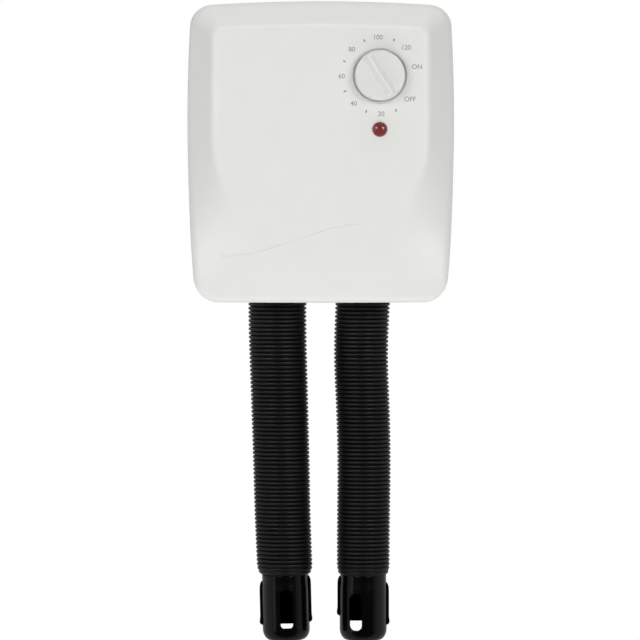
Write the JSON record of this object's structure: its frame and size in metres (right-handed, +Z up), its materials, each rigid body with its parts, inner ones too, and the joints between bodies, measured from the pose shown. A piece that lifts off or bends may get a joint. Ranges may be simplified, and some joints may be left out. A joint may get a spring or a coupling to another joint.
{
  "type": "boot dryer",
  "caption": "Wall-mounted boot dryer: a moulded housing with a timer knob and lamp, over two pleated hoses that end in slotted nozzles.",
  "frame": {"origin": "on the wall face of the back shell, at mid width and mid height of the housing", "axes": "+X to the right seen from the front, +Y into the wall, +Z up; the front faces -Y"},
  "size_m": [0.1856, 0.1181, 0.4485],
  "materials": {
    "white_plastic": "fine satin moulded",
    "knob_plastic": "satin moulded",
    "black_plastic": "satin moulded",
    "hose_plastic": "pleated film",
    "red_lens": "clear coloured",
    "screw_steel": "zinc plated",
    "grommet_rubber": "moulded",
    "terminal_plastic": "moulded",
    "wire_insulation": "smooth",
    "timer_plastic": "moulded",
    "spring_steel": "blued",
    "brass_parts": "bright",
    "bright_steel": "ground",
    "inner_plastic": "moulded",
    "bulb_glass": "clear",
    "lamination_steel": "stacked sheet",
    "copper_wire": "enamelled",
    "bracket_steel": "zinc plated",
    "heater_frame": "high temperature moulding",
    "heater_ceramic": "sintered",
    "heater_fins": "bright sheet",
    "dial_ink": "printed"
  },
  "bodies": {
    "housing": {"back_shell": "white_plastic", "front_cover": "white_plastic", "cover_screws": "screw_steel", "cord_grommet": "grommet_rubber", "terminal_block": "terminal_plastic", "wiring": "wire_insulation", "timer_case": "timer_plastic", "timer_screws": "screw_steel", "timer_mainspring": "spring_steel", "timer_contacts": "brass_parts", "lamp_lens": "red_lens", "lamp_holder": "inner_plastic", "lamp_clip": "spring_steel", "neon_bulb": "bulb_glass", "scroll_body": "inner_plastic", "scroll_cover": "inner_plastic", "scroll_screws": "screw_steel", "blower_screws": "screw_steel", "motor_stator": "lamination_steel", "motor_bobbin": "timer_plastic", "motor_winding": "copper_wire", "motor_brackets": "bracket_steel", "motor_bearings": "brass_parts", "motor_screws": "screw_steel", "heater_frame": "heater_frame", "heater_elements": "heater_ceramic", "heater_fins": "heater_fins", "thermal_cutout": "bracket_steel", "air_manifold": "inner_plastic", "hose_clamps": "bracket_steel", "left_hose_top": "hose_plastic", "right_hose_top": "hose_plastic"},
    "timer_dial": {"timer_knob": "knob_plastic", "timer_shaft": "bright_steel", "timer_cam": "timer_plastic"},
    "fan": {"impeller": "inner_plastic", "motor_rotor": "lamination_steel", "motor_shaft": "bright_steel"},
    "left_bend_part": {"left_hose_bend": "hose_plastic"},
    "left_sway_part": {"left_hose_middle": "hose_plastic"},
    "left_end_part": {"left_hose_end": "hose_plastic", "left_nozzle": "black_plastic"},
    "right_bend_part": {"right_hose_bend": "hose_plastic"},
    "right_sway_part": {"right_hose_middle": "hose_plastic"},
    "right_end_part": {"right_hose_end": "hose_plastic", "right_nozzle": "black_plastic"}
  },
  "joints": [
    {"name": "timer_turn", "type": "hinge", "parent": "housing", "child": "timer_dial", "pos_m": [0.0405, -0.104, 0.0512], "axis": [0, 1, 0], "range_deg": [-197.4, 109]},
    {"name": "fan_spin", "type": "hinge", "parent": "housing", "child": "fan", "pos_m": [-0.036, -0.06, 0.036], "axis": [0, 1, 0], "continuous": true},
    {"name": "left_hose_bend", "type": "hinge", "parent": "housing", "child": "left_bend_part", "pos_m": [-0.02926, -0.05, -0.12799], "axis": [-1, 0, 0], "range_deg": [-5, 50], "deforming": ["left_hose_top", "left_hose_bend"]},
    {"name": "left_hose_sway", "type": "hinge", "parent": "left_bend_part", "child": "left_sway_part", "pos_m": [-0.02827, -0.05, -0.16998], "axis": [0, 1, 0], "range_deg": [0, 45], "deforming": ["left_hose_middle"]},
    {"name": "left_hose_extend", "type": "slide", "parent": "left_sway_part", "child": "left_end_part", "axis": [0.0237, 0, -0.9997], "range_m": [0, 0.12], "deforming": ["left_hose_end"]},
    {"name": "right_hose_bend", "type": "hinge", "parent": "housing", "child": "right_bend_part", "pos_m": [0.03, -0.05, -0.128], "axis": [-1, 0, 0], "range_deg": [-5, 50], "deforming": ["right_hose_top", "right_hose_bend"]},
    {"name": "right_hose_sway", "type": "hinge", "parent": "right_bend_part", "child": "right_sway_part", "pos_m": [0.03, -0.05, -0.17], "axis": [0, -1, 0], "range_deg": [0, 45], "deforming": ["right_hose_middle"]},
    {"name": "right_hose_extend", "type": "slide", "parent": "right_sway_part", "child": "right_end_part", "axis": [0, 0, -1], "range_m": [0, 0.12], "deforming": ["right_hose_end"]}
  ]
}
